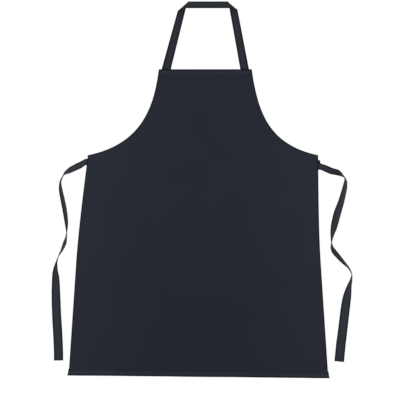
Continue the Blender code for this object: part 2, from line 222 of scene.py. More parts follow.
# Painted light makes the cloth lighter at its side corners and towards its sides, and painted shade makes
# it darker lower down.
CORNER_PAINTED_LIGHT, CORNER_HALF = 0.60, 0.006
SIDE_PAINTED_LIGHT = 0.24
LOW_PAINTED_SHADE, LOW_REACH = 0.06, 0.5
# Painted shade makes the cloth's rim darker than its front, and the long edges of tapes and hem strips
# too.
RIM_PAINTED_SHADE = 0.04
TAPE_EDGE_PAINTED_SHADE = 0.84
HEM_EDGE_PAINTED_SHADE = 0.15

# The least gap between points of the cloth's mesh beside the hems and the waist fold, and by a crease.
ROW_GAP, CREASE_GAP = 0.00095, 0.002
# Each row of points at the waist fold: its left end, its right end and how many points it has.
FOLD_ROW = (-0.33, 0.30, 127)
RIM_STEPS = 4
# How far a hem strip stays inside the cloth's edge, and the air between two layers.
HEM_INSET = 0.0007
LAYER_GAP = 0.0001
# The radius of each thread in a bartack.
BARTACK_HALF = 0.0003

CLOTH_DARK = (0.0104, 0.0124, 0.0183)
CLOTH_LIGHT = (0.0158, 0.0186, 0.0266)
TAPE_FRONT_DARK = (0.0183, 0.0204, 0.0269)
TAPE_FRONT_LIGHT = (0.0282, 0.0314, 0.0414)
TAPE_BACK_DARK = (0.0170, 0.0208, 0.0260)
TAPE_BACK_LIGHT = (0.0262, 0.0320, 0.0400)
THREAD_DARK = (0.0060, 0.0070, 0.0105)
THREAD_LIGHT = (0.0110, 0.0128, 0.0180)

CAMERA_PLACE = (-0.02195, -8.0, -0.5356)
CAMERA_LENS = 262.4
STUDIO_MIDDLE = (0, 0, -0.5)
FLOOR_Z, FLOOR_HALF = -2.4, 14

BACK = Vector((0, 1, 0))
UP = Vector((0, 0, 1))


def smooth_step(t):
    t = min(1.0, max(0.0, t))
    return t * t * (3 - 2 * t)


def spread(start, end, count):
    return [start + (end - start) * i / (count - 1) for i in range(count)]


# ---- the cloth's outline and surface -----------------------------------------------------------


def centre_x(z):
    share = smooth_step((z - LEAN_FROM) / (LEAN_TO - LEAN_FROM))
    return LEAN_TOP_X + share * (LEAN_HEM_X - LEAN_TOP_X)


def armhole(sign, t):
    """Point (x, z) of the armhole, from the bib's top corner, t 0, to the side corner, t 1."""
    start = Vector((BIB_TOP_HALF, BIB_TOP))
    end = Vector((WAIST_HALF, CORNER))
    down = Vector((math.sin(ARMHOLE_TOP_ANGLE), -math.cos(ARMHOLE_TOP_ANGLE)))
    out = Vector((math.cos(ARMHOLE_SIDE_ANGLE), -math.sin(ARMHOLE_SIDE_ANGLE)))
    first = start + ARMHOLE_TOP_PULL * down
    second = end - ARMHOLE_SIDE_PULL * out
    s = 1 - t
    point = s**3 * start + 3 * s * s * t * first + 3 * s * t * t * second + t**3 * end
    return Vector((centre_x(point.y) + sign * point.x, point.y))


def side_edge(sign, t):
    """Point (x, z) of the skirt's side. The ends of the bottom hem stand a little proud."""
    z = WAIST_FOLD + t * (HEM_LINE - WAIST_FOLD)
    half = WAIST_HALF + t * (HEM_HALF - WAIST_HALF)
    above = z - HEM_LINE
    if above < BOTTOM_HEM_DEEP:
        half += BOTTOM_HEM_PROUD * (1 - 2 / 3 * above / BOTTOM_HEM_DEEP)
    return Vector((centre_x(z) + sign * half, z - sign * t * HEM_SLOPE / 2))


def resample(points, step):
    """The same line with its points that far apart, its ends kept."""
    lengths = [0.0]
    for a, b in zip(points, points[1:]):
        lengths.append(lengths[-1] + (b - a).length)
    count = max(2, round(lengths[-1] / step) + 1)
    made, i = [], 0
    for want in spread(0.0, lengths[-1], count):
        while i < len(lengths) - 2 and lengths[i + 1] < want:
            i += 1
        share = (want - lengths[i]) / (lengths[i + 1] - lengths[i])
        made.append(points[i].lerp(points[i + 1], share))
    return made


def outline():
    """The cloth's edges, clockwise from the front: (name, kind of hem, points (x, z))."""
    arm = {sign: [armhole(sign, t) for t in spread(0, 1, 200)] for sign in (-1, 1)}
    side = {sign: [side_edge(sign, t) for t in spread(0, 1, 400)] for sign in (-1, 1)}
    runs = [
        ("top", "top", [arm[-1][0], arm[1][0]]),
        ("armhole_right", "armhole", arm[1]),
        ("side_right", "side", [arm[1][-1], *side[1]]),
        ("bottom", "bottom", [side[1][-1], side[-1][-1]]),
        ("side_left", "side", [arm[-1][-1], *side[-1]][::-1]),
        ("armhole_left", "armhole", arm[-1][::-1]),
    ]
    return [(name, kind, resample(points, EDGE_STEP)) for name, kind, points in runs]


def inward(points, i):
    """Unit vector into the cloth from point i of an edge that runs clockwise."""
    along = points[min(i + 1, len(points) - 1)] - points[max(i - 1, 0)]
    return Vector((along.y, -along.x)).normalized()


def waves(x, z, flutes):
    across = x - centre_x(z)
    return sum(
        depth * math.sin(math.tau * across / length + phase + drift * z)
        for depth, length, phase, drift in flutes
    )


def surface(x, z):
    """Depth y of the middle of the cloth: flat at the waist and bib's top, waved between and below."""
    low = smooth_step((WAIST_FOLD - 0.07 - z) / 0.50)
    bib = smooth_step((BIB_TOP - 0.035 - z) / 0.05) * smooth_step((z - WAIST_FOLD - 0.045) / 0.06)
    return CLOTH_Y + low * waves(x, z, FLUTES) + bib * waves(x, z, BIB_FLUTES)


class Edge:
    """One edge of the cloth, which tells how far a point is from it."""

    def __init__(self, name, kind, points):
        self.name, self.kind, self.points = name, kind, points
        self.width, self.rows = HEMS[kind]
        self.seam = self.width - STITCH_INSET
        self.tree = kdtree.KDTree(len(points))
        for i, point in enumerate(points):
            self.tree.insert((point.x, point.y, 0), i)
        self.tree.balance()

    def place(self, point):
        """How far inside this edge a point is, and how far along it."""
        _, i, straight = self.tree.find((point.x, point.y, 0))
        away = point - self.points[i]
        normal = inward(self.points, i)
        beside = away.dot(Vector((-normal.y, normal.x)))
        inside = away.dot(normal)
        near = inside if abs(beside) < EDGE_STEP else straight
        return abs(near), i * EDGE_STEP + beside


def crease_share(point):
    """How strongly the pressed creases show at a point of the cloth, in depth and in painted shade, which
    turns to a painted highlight where the share is negative.
    """
    total = 0.0
    for start, end, dark in CREASES:
        a, b = Vector(start), Vector(end)
        t = min(1.0, max(0.0, (point - a).dot(b - a) / (b - a).length_squared))
        away = (point - a.lerp(b, t)).length
        fade = smooth_step(min(t, 1 - t) * 6)
        total += dark * fade * max(0.0, 1 - away / CREASE_HALF)
    return total


def bell(distance, half):
    """1 at no distance, 0.37 at the half width and almost nothing at twice that."""
    return math.exp(-((distance / half) ** 2))


def look_at_hems(point, edges):
    """The front's relief, outwards, and its tone at a point of the cloth, made of painted shade and
    painted highlights.
    """
    relief, tone = 0.0, 1.0
    for edge in edges:
        near, along = edge.place(point)
        if near > edge.width + HEM_REACH:
            continue
        beyond = near - edge.seam
        groove = bell(beyond, GROOVE_HALF)
        uneven = PUCKER_DRIFT * math.sin(along * PUCKER_DRIFT_RATE)
        pucker = 0.5 + 0.5 * math.sin(math.tau * along / PUCKER_PITCH + uneven)
        plump = smooth_step(near / PLUMP_RISE) * smooth_step(-beyond / PLUMP_FALL)
        relief += PLUMP_HIGH * plump - GROOVE_DEEP * groove
        relief += PUCKER_HIGH * pucker * bell(beyond, PUCKER_HALF)
        # Painted shade in the seam's groove.
        tone *= 1 - SEAM_PAINTED_SHADE[edge.kind] * groove
        # Painted highlights on the ridge and on the plump hem.
        painted_ridge_light = bell(near - RIDGE_AT, RIDGE_HALF)
        tone *= 1 + RIDGE_PAINTED_LIGHT * painted_ridge_light + PLUMP_PAINTED_LIGHT[edge.kind] * plump
        # Painted shade at the edge, where the cloth turns away.
        tone *= 1 - EDGE_PAINTED_SHADE[edge.kind] * bell(near, EDGE_SHADE)
    # The creases dent the cloth and paint shade on it, or raise it and paint a highlight.
    dark = crease_share(point)
    # Painted light at the side corners and towards the sides, painted shade lower down.
    corners = (armhole(-1, 1), armhole(1, 1))
    painted_corner_light = sum(bell((point - corner).length, CORNER_HALF) for corner in corners)
    aside = abs(point.x - centre_x(point.y)) / HEM_HALF
    low = smooth_step((WAIST_FOLD - point.y) / LOW_REACH)
    painted_side_light_low_shade = 1 + SIDE_PAINTED_LIGHT * aside**2 - LOW_PAINTED_SHADE * low
    return relief - CREASE_DEEP * dark, tone * (1 - dark) * (1 + CORNER_PAINTED_LIGHT * painted_corner_light) * painted_side_light_low_shade


# ---- meshes ------------------------------------------------------------------------------------


def add_object(name, verts, faces, material, weave=None, tone=None):
    mesh = bpy.data.meshes.new(name)
    mesh.from_pydata(verts, [], faces)
    mesh.validate()
    for polygon in mesh.polygons:
        polygon.use_smooth = True
    if weave:
        data = mesh.attributes.new("weave", "FLOAT_VECTOR", "POINT").data
        for item, value in zip(data, weave):
            item.vector = value
    if tone:
        data = mesh.attributes.new("tone", "FLOAT", "POINT").data
        for item, value in zip(data, tone):
            item.value = value
    bm = bmesh.new()
    bm.from_mesh(mesh)
    bmesh.ops.recalc_face_normals(bm, faces=bm.faces)
    bm.to_mesh(mesh)
    bm.free()
    mesh.materials.append(material)
    piece = bpy.data.objects.new(name, mesh)
    bpy.context.scene.collection.objects.link(piece)
    return piece


def thin_out(points, kept, gap):
    """The points that are at least the gap from every kept one and from each other, added to kept."""
    cells = {}

    def cell(p):
        return int(p.x // gap), int(p.y // gap)

    for p in kept:
        cells.setdefault(cell(p), []).append(p)
    for p in points:
        cx, cy = cell(p)
        near = (q for i in (-1, 0, 1) for j in (-1, 0, 1) for q in cells.get((cx + i, cy + j), ()))
        if all((p - q).length >= gap for q in near):
            kept.append(p)
            cells.setdefault((cx, cy), []).append(p)


def border_points(edges):
    """The loop where the flat cloth turns into its rounded rim, with outward directions."""
    loop, outs = [], []
    for edge in edges:
        for i, point in enumerate(edge.points[:-1]):
            normal = inward(edge.points, i)
            if i == 0:
                before = edges[edges.index(edge) - 1]
                normal = (normal + inward(before.points, len(before.points) - 1)).normalized()
            loop.append(point + BEAD * normal)
            outs.append(-normal)
    return loop, outs


def cloth_points(edges, loop):
    """The loop's points, rows beside each hem, at the waist fold and the creases, and a field."""

    def clear(p, distance):
        return within(p) and min(edge.place(p)[0] for edge in edges) > distance

    points = list(loop)
    for row in range(max(len(edge.rows) for edge in edges)):
        for edge in edges:
            if row >= len(edge.rows):
                continue
            distance = edge.rows[row]
            offset = [p + distance * inward(edge.points, i) for i, p in enumerate(edge.points)]
            inside = [p for p in offset if clear(p, min(distance, 0.0025) - 0.0004)]
            thin_out(inside, points, ROW_GAP)
    for lift in (0, 1, -1, 2, -2, 3, -3, 4, -4, 5, -5, 6.5, -6.5):
        z = WAIST_FOLD + lift / 1000
        row = [Vector((x, z)) for x in spread(*FOLD_ROW)]
        thin_out([p for p in row if clear(p, 0.003)], points, ROW_GAP)
    for start, end, _ in CREASES:
        a, b = Vector(start), Vector(end)
        across = Vector((a.y - b.y, b.x - a.x)).normalized() * CREASE_HALF
        for shift in (-1, 0, 1):
            thin_out([p + shift * across for p in resample([a, b], 0.006)], points, CREASE_GAP)
    field = []
    rows = int((BIB_TOP - HEM_LINE) / FIELD_STEP)
    for i in range(rows + 1):
        z = BIB_TOP - i * FIELD_STEP
        for j in range(FIELD_COLUMNS):
            field.append(Vector((FIELD_LEFT + (j + (i % 2) / 2) * FIELD_STEP, z)))
    thin_out([p for p in field if clear(p, 0.005)], points, FIELD_STEP * 0.6)
    return points


def half_span(z):
    """The x of the cloth's left and right edge at a height, from its own outline."""
    if z > CORNER:
        low, high = 0.0, 1.0
        for _ in range(30):
            middle = (low + high) / 2
            if armhole(1, middle).y > z:
                low = middle
            else:
                high = middle
        return armhole(-1, low).x, armhole(1, low).x
    t = min(1.0, max(0.0, (WAIST_FOLD - z) / (WAIST_FOLD - HEM_LINE)))
    return side_edge(-1, t).x, side_edge(1, t).x


def within(p):
    """Whether a point is inside the cloth's rounded rim."""
    left, right = half_span(p.y)
    low = HEM_LINE + HEM_SLOPE / 2 * (1 - 2 * (p.x - left) / (right - left))
    return left + BEAD < p.x < right - BEAD and low + BEAD < p.y < BIB_TOP - BEAD


def apron_cloth(edges, material):
    loop, outs = border_points(edges)
    points = cloth_points(edges, loop)
    count = len(loop)
    ring = [(i, (i + 1) % count) for i in range(count)]
    flat, _, faces, origin, _, _ = delaunay_2d_cdt(points, ring, [], 1, 1e-7)
    place = {o: i for i, olds in enumerate(origin) for o in olds}
    looks = [look_at_hems(p, edges) for p in flat]
    verts, weave, tone = [], [], []
    for side, sign in ((0, -1), (1, 1)):
        for p, (relief, shade) in zip(flat, looks):
            lift = CLOTH_HALF + (relief if side == 0 else -0.5 * relief)
            verts.append((p.x, surface(p.x, p.y) + sign * lift, p.y))
            weave.append((p.x, p.y, side))
            tone.append(shade if side == 0 else max(shade, BACK_TONE))
    total = len(flat)
    made = [tuple(face) for face in faces]
    made += [tuple(total + i for i in face[::-1]) for face in faces]
    rings = [[place[i] for i in range(count)]]
    for k in range(1, RIM_STEPS + 1):
        angle = math.pi * (k / RIM_STEPS - 0.5)
        rings.append(range(len(verts), len(verts) + count))
        for i in range(count):
            p = loop[i] + outs[i] * BEAD * math.cos(angle)
            y = surface(loop[i].x, loop[i].y) + BEAD - CLOTH_HALF + BEAD * math.sin(angle)
            verts.append((p.x, y, p.y))
            weave.append((p.x, p.y, k / RIM_STEPS))
            # Painted shade on the rim, where the cloth turns away.
            tone.append(tone[place[i]] - RIM_PAINTED_SHADE)
    rings.append([total + place[i] for i in range(count)])
    for here, there in zip(rings, rings[1:]):
        for i in range(count):
            j = (i + 1) % count
            made.append((here[i], here[j], there[j], there[i]))
    return add_object("apron_cloth", verts, made, material, weave, tone)


def strip_ring(one, other, normal, thick, cup=0.0, cells=8):
    """A flat closed cross-section with rounded edges: (point, (how far across, which side))."""
    width = (other - one).length
    across = (other - one) / width
    unit = normal.normalized()
    round_part = [0.0, 0.15 * thick, 0.5 * thick]
    round_part += [min(1.7 * thick, 0.15 * width), min(3.2 * thick, 0.3 * width)]
    inner = spread(round_part[-1], width - round_part[-1], cells)
    offsets = [*round_part[:-1], *inner, *[width - r for r in round_part[:-1]][::-1]]
    front, back = [], []
    for offset in offsets:
        edge = min(1.0, min(offset, width - offset) / (thick / 2))
        half = thick / 2 * math.sqrt(max(0.0, 1 - (1 - edge) ** 2))
        bend = cup * (1 - (2 * offset / width - 1) ** 2)
        middle = one + across * offset + unit * bend
        front.append((middle - unit * half, (offset - width / 2, 0.0)))
        back.append((middle + unit * half, (offset - width / 2, 1.0)))
    ends = [(front[0][0], (front[0][1][0], 0.5)), (front[-1][0], (front[-1][1][0], 0.5))]
    return [ends[0], *front[1:-1], ends[1], *back[1:-1][::-1]]


def strip(
    name, sections, thick, material, cups=None, cells=8,
    edge_painted_shade=TAPE_EDGE_PAINTED_SHADE, shade=EDGE_SHADE, shaded_tone_all=1.0,
):
    """A closed strip of tape or folded cloth through cross-sections (edge, other edge, normal)."""
    cups = cups or [0.0] * len(sections)
    rings = [strip_ring(a, b, n, thick, cup, cells) for (a, b, n), cup in zip(sections, cups)]
    verts, weave, tone, faces = [], [], [], []
    size = len(rings[0])
    length = 0.0
    for k, ring in enumerate(rings):
        if k:
            middles = [(sections[i][0] + sections[i][1]) / 2 for i in (k - 1, k)]
            length += (middles[1] - middles[0]).length
        wide = (sections[k][1] - sections[k][0]).length
        for point, (across, side) in ring:
            verts.append(point)
            weave.append((length, across, side))
            # Painted shade along the strip's long edges.
            tone.append(shaded_tone_all * (1 - edge_painted_shade * bell(wide / 2 - abs(across), shade)))
    for k in range(len(rings) - 1):
        for i in range(size):
            j = (i + 1) % size
            faces.append((k * size + i, k * size + j, (k + 1) * size + j, (k + 1) * size + i))
    half = size // 2
    for base in (0, (len(rings) - 1) * size):
        for i in range(half):
            opposite = (base + (size - i - 1) % size, base + (size - i) % size)
            faces.append(tuple(dict.fromkeys((base + i, base + i + 1, *opposite))))
    return add_object(name, verts, faces, material, weave, tone)


def on_cloth(point, lift):
    return Vector((point.x, surface(point.x, point.y) + lift, point.y))


def hem(name, edge, first, last, material):
    """The turned edge behind the cloth, between two shares of an edge's length."""
    points = edge.points
    sections = []
    for i in range(round(first * (len(points) - 1)), round(last * (len(points) - 1)) + 1, 2):
        normal = inward(points, i)
        outer = points[i] + HEM_INSET * normal
        inner = points[i] + edge.width * normal
        sections.append((on_cloth(outer, HEM_LIFT), on_cloth(inner, HEM_LIFT), BACK))
    return strip(name, sections, HEM_THICK, material, cells=5, edge_painted_shade=HEM_EDGE_PAINTED_SHADE)


def bead_shape(place, along, half, radius):
    """One stitch: a short rounded bead, five-sided, as points and faces counted from 0."""
    along = along.normalized()
    side = along.cross(BACK).normalized()
    deep = side.cross(along)
    verts = [place - along * half]
    for shift in (-0.62, 0.62):
        for k in range(5):
            angle = math.tau * k / 5
            round_it = (math.cos(angle) * side + math.sin(angle) * deep) * radius
            verts.append(place + along * half * shift + round_it)
    verts.append(place + along * half)
    faces = []
    for k in range(5):
        j = (k + 1) % 5
        faces += [(0, 1 + j, 1 + k), (1 + k, 1 + j, 6 + j, 6 + k), (11, 6 + k, 6 + j)]
    return verts, faces


def stitch_rows(name, beads, material):
    """One piece of many stitches, each (place, direction, half length, radius)."""
    verts, faces = [], []
    for bead in beads:
        shape, sides = bead_shape(*bead)
        base = len(verts)
        verts += shape
        faces += [tuple(base + i for i in side) for side in sides]
    return add_object(name, verts, faces, material)


def seam(name, edge, first, last, material):
    """A row of stitches along an edge's seam, on the front and on the back of its hem."""
    line = [p + edge.seam * inward(edge.points, i) for i, p in enumerate(edge.points)]
    cut = line[round(first * (len(line) - 1)) : round(last * (len(line) - 1)) + 1]
    marks = resample(cut, STITCH_PITCH)
    beads = []
    for a, b in zip(marks, marks[1:]):
        middle = (a + b) / 2
        slope = Vector((b.x - a.x, 0, b.y - a.y))
        for lift in (-STITCH_HALF, HEM_LIFT + HEM_THICK / 2):
            beads.append((on_cloth(middle, lift), slope, STITCH_LONG / 2, STITCH_HALF))
    return stitch_rows(name, beads, material)


def bartack(name, start, end, material):
    """A dense bar of stitches across its own line, on the front and behind the tape."""
    beads = []
    along = (end - start).normalized()
    across = Vector((-along.y, 0, along.x))
    for i, p in enumerate(resample([start, end], BARTACK_PITCH)):
        lean = across + 0.25 * (1 if i % 2 else -1) * Vector((along.x, 0, along.y))
        for lift in (-CLOTH_HALF - LAYER_GAP, TAPE_LIFT + TAPE_THICK / 2 + LAYER_GAP):
            beads.append((on_cloth(p, lift), lean, BARTACK_WIDE / 2, BARTACK_HALF))
    return stitch_rows(name, beads, material)


# ---- tapes -------------------------------------------------------------------------------------


def strand_edges(side, z):
    """Outer and inner edge of one strand of the neck tape at a height, without its lean."""
    strand = STRANDS[side]
    share = (TOP_RUN_WIDE / 2 - z) / (TOP_RUN_WIDE / 2 - BIB_TOP)
    inner, outer = (top + share * (foot - top) for top, foot in zip(strand["top"], strand["foot"]))
    sign = strand["sign"]
    return Vector((sign * outer, TAPE_Y, z)), Vector((sign * inner, TAPE_Y, z))


def leaned(a, b, share):
    """The tape's two edges, the outer one brought forward and the inner one set back."""
    deep = NECK_LEAN * math.sin(min(1.0, max(0.0, share)) * math.pi / 2) * BACK
    return a - deep, b + deep


def neck_half(side):
    """Cross-sections of half the neck tape, from its sewn end up one strand and round its crease."""
    below, beside = STRAND_TURN
    strand = STRANDS[side]
    sign = strand["sign"]
    drop = strand["crease_drop"]
    sections = []
    for z in spread(BIB_TOP - NECK_TAPE_TUCK, BIB_TOP, 6)[:-1]:
        a, b = strand_edges(side, z)
        sections.append((a, b))
    for t in spread(0, 1, 40):
        outer, _ = strand_edges(side, BIB_TOP + t * (-drop - beside - BIB_TOP))
        _, inner = strand_edges(side, BIB_TOP + t * (-below - BIB_TOP))
        sections.append(leaned(outer, inner, (outer.z - BIB_TOP) / (-drop - BIB_TOP)))
    low, _ = strand_edges(side, -drop)
    high = Vector((sign * TOP_RUN_HALF, 0, TOP_RUN_WIDE / 2))
    outward = -sign * Vector((high.x - low.x, 0, high.z - low.z)).cross(BACK).normalized()
    for angle in spread(0.0, math.pi, CREASE_TURNS):
        turned = math.cos(angle) * BACK + math.sin(angle) * outward
        shift = (TAPE_Y + RUN_Y) / 2 * BACK + (TAPE_Y - RUN_Y) / 2 * turned
        flat_low = Vector((low.x, 0, low.z))
        sections.append(leaned(flat_low + shift, high + shift, 1.0))
    return sections


def neck_sections():
    """Cross-sections (edge, other edge, normal) of the whole neck tape, from the left to the right."""
    left, right = neck_half("left"), neck_half("right")
    low_turn, high_turn = TOP_RUN_TURN
    run = []
    for u in spread(-1, 1, 13):
        low = Vector((u * (TOP_RUN_HALF + low_turn), RUN_Y, -TOP_RUN_WIDE / 2))
        high = Vector((u * (TOP_RUN_HALF - high_turn), RUN_Y, TOP_RUN_WIDE / 2))
        run.append(leaned(low, high, 1.0))
    folded = []
    for pairs, sign in ((left, 1), (right, -1)):
        sections = []
        count = len(pairs)
        for i, (a, b) in enumerate(pairs):
            if i >= count - CREASE_TURNS:
                angle = math.pi * (i - (count - CREASE_TURNS)) / (CREASE_TURNS - 1)
                outward = sign * Vector((b.x - a.x, 0, b.z - a.z)).cross(BACK).normalized()
                normal = math.cos(angle) * BACK + math.sin(angle) * outward
                normal -= normal.dot((b - a).normalized()) * (b - a).normalized()
            else:
                along = pairs[min(i + 1, count - CREASE_TURNS - 1)][0] - pairs[max(i - 1, 0)][0]
                normal = along.cross(b - a).normalized()
                if normal.y < 0:
                    normal.negate()
            sections.append((a, b, normal))
        folded.append(sections)
    middle = []
    for a, b in run:
        normal = Vector((1, 0, 0)).cross(b - a).normalized()
        if normal.y > 0:
            normal.negate()
        middle.append((a, b, normal))
    return [*folded[0], *middle, *folded[1][::-1]]


def tie_root(side):
    """Where a tie leaves the side hem, at the middle of its width."""
    tie = TIE_SIDES[side]
    t = (WAIST_FOLD - tie["root_z"]) / (WAIST_FOLD - HEM_LINE)
    edge = side_edge(tie["sign"], t).x + tie["sign"] * TIE_PROUD
    return Vector((edge, TAPE_Y, tie["root_z"]))


def between(p0, p1, p2, p3, t):
    """Catmull-Rom: the value at t between p1 and p2."""
    return 0.5 * (
        2 * p1
        + (p2 - p0) * t
        + (2 * p0 - 5 * p1 + 4 * p2 - p3) * t * t
        + (3 * p1 - p0 - 3 * p2 + p3) * t**3
    )


def smooth_route(knots, steps):
    """A smooth line of points through the knots."""
    padded = [knots[0], *knots, knots[-1]]
    points = []
    for i in range(1, len(padded) - 2):
        for step in range(steps):
            columns = zip(*padded[i - 1 : i + 3])
            points.append(tuple(between(*column, step / steps) for column in columns))
    points.append(knots[-1])
    return points


def tie_sections(side, steps=6):
    """Cross-sections of a whole tie, from its end sewn behind the side hem to its free end."""
    sign = TIE_SIDES[side]["sign"]
    root = tie_root(side)
    route = LEFT_TIE_ROUTE if side == "left" else RIGHT_TIE_ROUTE
    first = (root.x * 1000 + sign, root.y * 1000, root.z * 1000, 0, TIE_ROOT_WIDE * 1000)
    points = smooth_route((first, *route), steps)
    places = [Vector(point[:3]) / 1000 for point in points]
    half = TIE_ROOT_WIDE / 2 * UP
    sections = []
    for inboard in spread(TIE_TUCK, 0.0, 12):
        place = root - Vector((sign * inboard, 0, 0))
        sections.append((place - half * -sign, place + half * -sign, BACK))
    for i, (place, point) in enumerate(zip(places, points)):
        along = places[min(i + 1, len(places) - 1)] - places[max(i - 1, 0)]
        along.normalize()
        level = BACK.cross(along).normalized()
        deep = along.cross(level)
        turn = math.radians(point[3])
        across = math.cos(turn) * level + math.sin(turn) * deep
        turned = smooth_step((place - places[0]).length / TIE_ROOT_TURN)
        across = (math.copysign(1, level.z) * UP).lerp(across, turned).normalized()
        if i == 0:
            along = Vector((sign, 0, 0))
        half_wide = across * point[4] / 2000
        sections.append((place - half_wide, place + half_wide, along.cross(across)))
    return sections


def tie_end(side, reach):
    """The tie's last cross-section and one as far back from its end as reach."""
    a, b, normal = tie_sections(side)[-1]
    before = tie_sections(side)[-7]
    back = ((before[0] + before[1]) / 2 - (a + b) / 2).normalized() * reach
    return [(a, b, normal.normalized()), (a + back, b + back, normal.normalized())]


def tie_hem(side, material):
    """The free end of a tie, turned back on itself."""
    last, first = tie_end(side, TIE_END_HEM)
    sections = []
    for t in spread(0, 1, 5):
        lift = -(TAPE_THICK + LAYER_GAP) * last[2]
        one, other = (last[k].lerp(first[k], t) + lift for k in (0, 1))
        sections.append((one, other, last[2]))
    return strip("tie_hem_" + side, sections, TAPE_THICK, material)


def tie_stitches(side, material):
    """A dense zigzag bar across the tape that holds its turned end."""
    _, (a, b, normal) = tie_end(side, TIE_END_HEM - 2 * STITCH_INSET)
    across = (b - a).normalized()
    along = across.cross(normal)
    count = int(((b - a).length - 2 * STITCH_INSET) / BARTACK_PITCH)
    beads = []
    for lift in (TAPE_THICK / 2, -1.5 * TAPE_THICK - LAYER_GAP):
        for i in range(count + 1):
            lean = along + 0.35 * (1 if i % 2 else -1) * across
            place = a + across * (STITCH_INSET + i * BARTACK_PITCH) + normal * lift
            beads.append((place, lean, BARTACK_WIDE / 2, BARTACK_HALF))
    return stitch_rows("tie_stitches_" + side, beads, material)


def tie_ear(side, material):
    """The raw top corner of a tie's sewn end, standing up beside the cloth."""
    tie = TIE_SIDES[side]
    foot = tie_root(side) + TIE_ROOT_WIDE / 2 * UP - Vector((tie["sign"] * 0.001, 0, 0.0005))
    sections = []
    for t in spread(0, 1, 5):
        place = foot + t * (tie["ear"] + 0.0005) * UP + Vector((tie["sign"] * 0.001 * t, 0, 0))
        reach = Vector((EAR_HALF - EAR_NARROWING * t, 0, 0))
        sections.append((place - reach, place + reach * (0.55 - 0.2 * t), BACK))
    return strip("tie_ear_" + side, sections, TAPE_THICK, material, cells=4)


# ---- materials ---------------------------------------------------------------------------------


def add_node(tree, kind, inputs=None, **settings):
    made = tree.nodes.new(kind)
    for key, value in settings.items():
        setattr(made, key, value)
    for key, value in (inputs or {}).items():
        if isinstance(value, bpy.types.NodeSocket):
            tree.links.new(value, made.inputs[key])
        else:
            made.inputs[key].default_value = value
    return made


def calc(tree, operation, *values):
    made = add_node(tree, "ShaderNodeMath", dict(enumerate(values)), operation=operation)
    return made.outputs[0]


def ridges(tree, value, period):
    """A wave from -1 to 1 with that period, in metres."""
    return calc(tree, "SINE", calc(tree, "MULTIPLY", value, math.tau / period))


def start_material(name, roughness, specular, sheen, sheen_roughness):
    material = bpy.data.materials.new(name)
    material.use_nodes = True
    shader = material.node_tree.nodes["Principled BSDF"]
    shader.inputs["Roughness"].default_value = roughness
    shader.inputs["Specular IOR Level"].default_value = specular
    shader.inputs["Sheen Weight"].default_value = sheen
    shader.inputs["Sheen Roughness"].default_value = sheen_roughness
    return material, material.node_tree, shader


def woven(tree):
    """The three parts of the weave coordinate."""
    place = add_node(tree, "ShaderNodeAttribute", attribute_name="weave")
    split = add_node(tree, "ShaderNodeSeparateXYZ", {0: place.outputs["Vector"]})
    return place.outputs["Vector"], split.outputs[0], split.outputs[1], split.outputs[2]


def cloudy(tree, vector, stretch, detail, seed):
    """Noise from 0 to 1 over the weave coordinate, stretched by that many waves a metre each way."""
    scaled = add_node(tree, "ShaderNodeVectorMath", {0: vector, 1: stretch}, operation="MULTIPLY")
    moved = add_node(tree, "ShaderNodeVectorMath", {0: scaled.outputs[0], 1: seed}, operation="ADD")
    made = add_node(
        tree,
        "ShaderNodeTexNoise",
        {"Vector": moved.outputs[0], "Scale": 1.0, "Detail": detail, "Roughness": 0.55},
    )
    return made.outputs["Fac"]


def tint(tree, dark, light, share, tone):
    """A colour between two, times a tone."""
    mixed = add_node(
        tree, "ShaderNodeMix", {0: share, 6: (*dark, 1), 7: (*light, 1)}, data_type="RGBA"
    )
    scaled = add_node(
        tree, "ShaderNodeVectorMath", {0: mixed.outputs[2], "Scale": tone}, operation="SCALE"
    )
    return scaled.outputs[0]


def cloth_material():
    material, tree, shader = start_material("navy_twill", 0.88, 0.05, 0.02, 0.45)
    place, across, up, _ = woven(tree)
    wale = ridges(tree, calc(tree, "ADD", across, calc(tree, "MULTIPLY", up, 0.8)), 0.0011)
    yarn = ridges(tree, calc(tree, "SUBTRACT", across, calc(tree, "MULTIPLY", up, 0.1)), 0.00052)
    slub_across = cloudy(tree, place, (40, 420, 3), 2.0, (3.1, 0.7, 0))
    slub_up = cloudy(tree, place, (430, 26, 3), 2.0, (0.4, 8.2, 0))
    cloud = cloudy(tree, place, (9, 9, 2), 3.0, (1.3, 4.4, 0))
    speckle = cloudy(tree, place, (260, 260, 5), 2.0, (7.7, 2.2, 0))
    share = calc(tree, "MULTIPLY", cloud, 0.50)
    share = calc(tree, "MULTIPLY_ADD", slub_across, 0.22, share)
    share = calc(tree, "MULTIPLY_ADD", slub_up, 0.22, share)
    share = calc(tree, "MULTIPLY_ADD", speckle, 0.16, share)
    share = calc(tree, "MULTIPLY_ADD", wale, 0.05, share)
    # The tone attribute carries the painted shade and painted highlights into the colour.
    tone = add_node(tree, "ShaderNodeAttribute", attribute_name="tone").outputs["Fac"]
    colour = tint(tree, CLOTH_DARK, CLOTH_LIGHT, share, tone)
    tree.links.new(colour, shader.inputs["Base Color"])
    height = calc(tree, "MULTIPLY_ADD", yarn, 0.35, calc(tree, "MULTIPLY", wale, 0.65))
    height = calc(tree, "MULTIPLY_ADD", slub_across, 1.2, height)
    height = calc(tree, "MULTIPLY_ADD", slub_up, 1.2, height)
    bump = add_node(
        tree, "ShaderNodeBump", {"Strength": 0.35, "Distance": 0.00012, "Height": height}
    )
    tree.links.new(bump.outputs[0], shader.inputs["Normal"])
    return material


